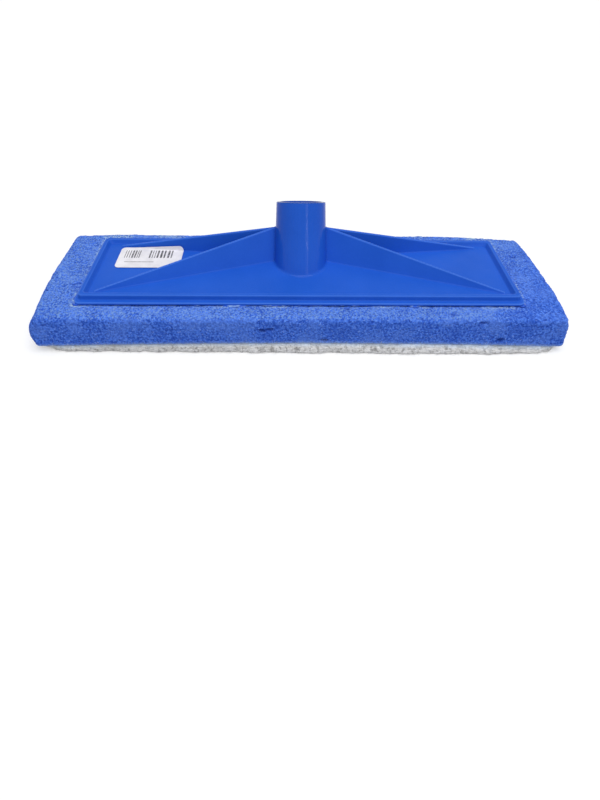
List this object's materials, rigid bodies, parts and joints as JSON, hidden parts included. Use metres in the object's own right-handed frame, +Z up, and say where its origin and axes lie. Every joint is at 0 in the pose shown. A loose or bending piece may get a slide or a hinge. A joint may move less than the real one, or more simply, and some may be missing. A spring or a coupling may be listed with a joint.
{
  "type": "scouring pad mop",
  "caption": "Mop head: a moulded plastic plate with ribs and a leaning pole socket, glued on a sponge block with a white scouring pad underneath.",
  "frame": {"origin": "centre of the scouring pad's working face, on the floor", "axes": "+X along the head, +Y the way the pole socket leans, +Z up"},
  "size_m": [0.2862, 0.084, 0.061],
  "materials": {
    "plastic_head": "satin gloss, moulded",
    "head_glue": "translucent set glue",
    "foam_sponge": "open-cell sponge, matte",
    "pad_bonding_film": "thin laminating film",
    "scouring_pad": "non-woven fibre, matte",
    "price_label": "coated paper"
  },
  "bodies": {
    "root": {"plastic_head": "plastic_head", "head_glue": "head_glue", "foam_sponge": "foam_sponge", "pad_bonding_film": "pad_bonding_film", "scouring_pad": "scouring_pad", "price_label": "price_label"}
  },
  "joints": []
}
